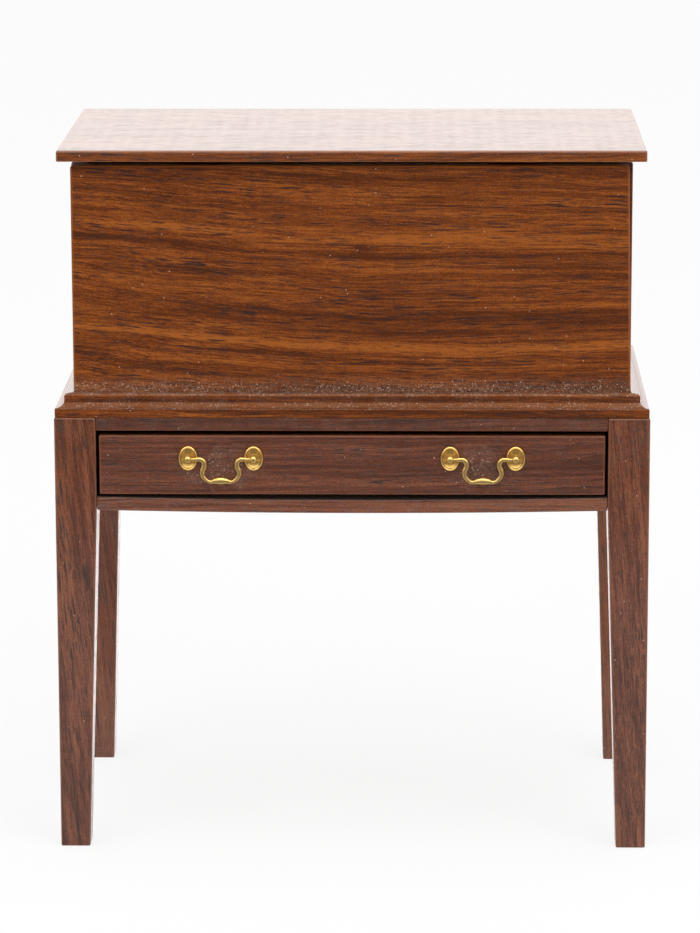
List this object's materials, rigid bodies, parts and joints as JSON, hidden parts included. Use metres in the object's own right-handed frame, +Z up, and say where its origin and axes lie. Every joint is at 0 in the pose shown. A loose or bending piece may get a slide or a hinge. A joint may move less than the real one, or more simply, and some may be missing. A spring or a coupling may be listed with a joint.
{
  "type": "cellarette miniature",
  "caption": "Miniature walnut cellarette: a hinged-lid bottle box with inner cells on a tapered-leg stand with a drawer on brass bail pulls.",
  "frame": {"origin": "on the floor, under the middle of the whole piece", "axes": "+Z up, front towards -Y, +X to the right as seen from the front"},
  "size_m": [0.06, 0.0362, 0.072],
  "materials": {
    "walnut_case": "satin",
    "walnut_stand": "satin",
    "inside_wood": "matte",
    "brass": "satin"
  },
  "bodies": {
    "stand": {"leg_front_left": "walnut_stand", "leg_front_right": "walnut_stand", "leg_rear_left": "walnut_stand", "leg_rear_right": "walnut_stand", "rail_upper": "walnut_stand", "rail_lower": "walnut_stand", "apron_back": "walnut_stand", "apron_left": "walnut_stand", "apron_right": "walnut_stand", "runner_left": "inside_wood", "runner_right": "inside_wood", "kicker_left": "inside_wood", "kicker_right": "inside_wood", "moulding_front": "walnut_stand", "moulding_right": "walnut_stand", "moulding_back": "walnut_stand", "moulding_left": "walnut_stand", "case_front": "walnut_case", "case_back": "walnut_case", "case_left": "walnut_case", "case_right": "walnut_case", "case_bottom": "inside_wood", "divider_long_1": "inside_wood", "divider_long_2": "inside_wood", "divider_cross_1": "inside_wood", "divider_cross_2": "inside_wood", "divider_cross_3": "inside_wood", "divider_cross_4": "inside_wood", "hinge_left_case_leaf": "brass", "hinge_left_pin": "brass", "hinge_left_case_nail_1": "brass", "hinge_left_case_nail_2": "brass", "hinge_right_case_leaf": "brass", "hinge_right_pin": "brass", "hinge_right_case_nail_1": "brass", "hinge_right_case_nail_2": "brass"},
    "lid": {"lid_board": "walnut_case", "hinge_left_lid_leaf": "brass", "hinge_left_lid_nail_1": "brass", "hinge_left_lid_nail_2": "brass", "hinge_right_lid_leaf": "brass", "hinge_right_lid_nail_1": "brass", "hinge_right_lid_nail_2": "brass"},
    "drawer": {"drawer_front": "walnut_stand", "drawer_left": "inside_wood", "drawer_right": "inside_wood", "drawer_back": "inside_wood", "drawer_bottom": "inside_wood", "pull_left_rosette_left": "brass", "pull_left_rosette_right": "brass", "pull_left_post_left": "brass", "pull_left_post_right": "brass", "pull_right_rosette_left": "brass", "pull_right_rosette_right": "brass", "pull_right_post_left": "brass", "pull_right_post_right": "brass"},
    "bail_left": {"bail_left": "brass"},
    "bail_right": {"bail_right": "brass"}
  },
  "joints": [
    {"name": "lid_hinge", "type": "hinge", "parent": "stand", "child": "lid", "pos_m": [0, 0.01604, 0.0706], "axis": [-1, 0, 0], "range_deg": [0, 100]},
    {"name": "drawer_slide", "type": "slide", "parent": "stand", "child": "drawer", "axis": [0, -1, 0], "range_m": [0, 0.024]},
    {"name": "bail_left_swing", "type": "hinge", "parent": "drawer", "child": "bail_left", "pos_m": [-0.0132, -0.01774, 0.04086], "axis": [-1, 0, 0], "range_deg": [0, 100]},
    {"name": "bail_right_swing", "type": "hinge", "parent": "drawer", "child": "bail_right", "pos_m": [0.0132, -0.01774, 0.04086], "axis": [-1, 0, 0], "range_deg": [0, 100]}
  ]
}
